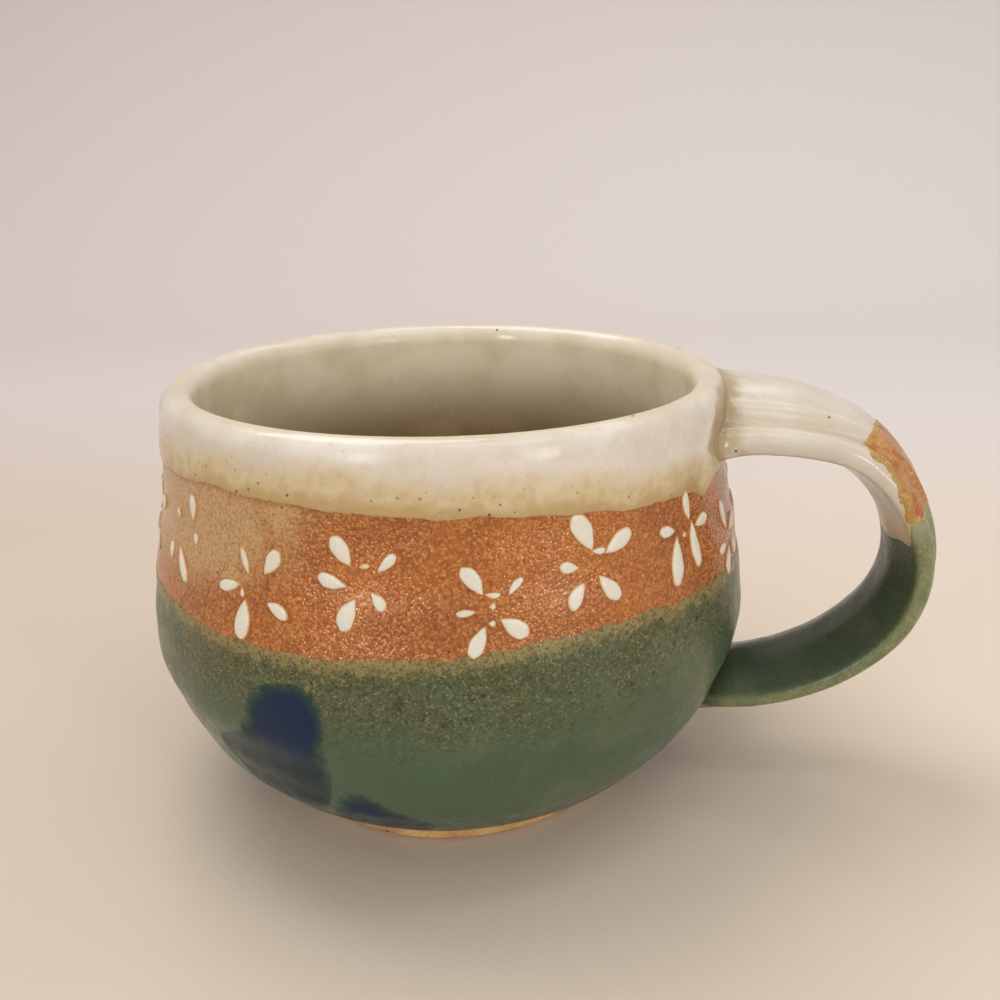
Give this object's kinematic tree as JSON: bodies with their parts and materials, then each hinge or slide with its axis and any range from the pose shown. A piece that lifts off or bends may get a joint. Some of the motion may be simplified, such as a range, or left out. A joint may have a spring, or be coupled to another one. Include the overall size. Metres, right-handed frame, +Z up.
{
  "type": "stoneware mug",
  "caption": "Wide hand-thrown stoneware mug with a rolled rim, trimmed foot ring, pulled strap handle and a band of brushed flowers between two glazes.",
  "frame": {"origin": "on the resting plane, under the middle of the whole mug's footprint box, handle included", "axes": "+X towards the handle, +Y to the left of the handle seen from the bowl, +Z up out of the mouth"},
  "size_m": [0.1372, 0.1046, 0.0735],
  "materials": {
    "stoneware_clay": "matte unglazed buff clay, slightly gritty",
    "white_glaze": "glossy cream-white glaze, tan where thin, with iron specks",
    "liner_glaze": "satin cream-grey glaze inside",
    "rust_slip": "rust-orange slip with a finely pebbled satin surface",
    "green_glaze": "speckled olive to teal green gloss glaze",
    "cobalt_brushwork": "dark cobalt blue in the green glaze",
    "flower_slip": "raised off-white slip, satin"
  },
  "bodies": {
    "root": {"bowl_body": "stoneware_clay", "handle_strap": "stoneware_clay", "upper_joint_coil": "white_glaze", "lower_joint_coil": "green_glaze", "liner_glaze": "liner_glaze", "rim_glaze": "white_glaze", "rust_slip_band": "rust_slip", "green_base_glaze": "green_glaze", "handle_white_glaze": "white_glaze", "handle_green_glaze": "green_glaze", "handle_rust_patch": "rust_slip", "cobalt_blot_large": "cobalt_brushwork", "cobalt_blot_small": "cobalt_brushwork", "flower_01": "flower_slip", "flower_02": "flower_slip", "flower_03": "flower_slip", "flower_04": "flower_slip", "flower_05": "flower_slip", "flower_06": "flower_slip", "flower_07": "flower_slip", "flower_08": "flower_slip", "flower_09": "flower_slip", "flower_10": "flower_slip", "flower_11": "flower_slip", "flower_12": "flower_slip", "flower_13": "flower_slip", "flower_14": "flower_slip", "flower_15": "flower_slip", "flower_16": "flower_slip", "flower_17": "flower_slip", "flower_18": "flower_slip"}
  },
  "joints": []
}
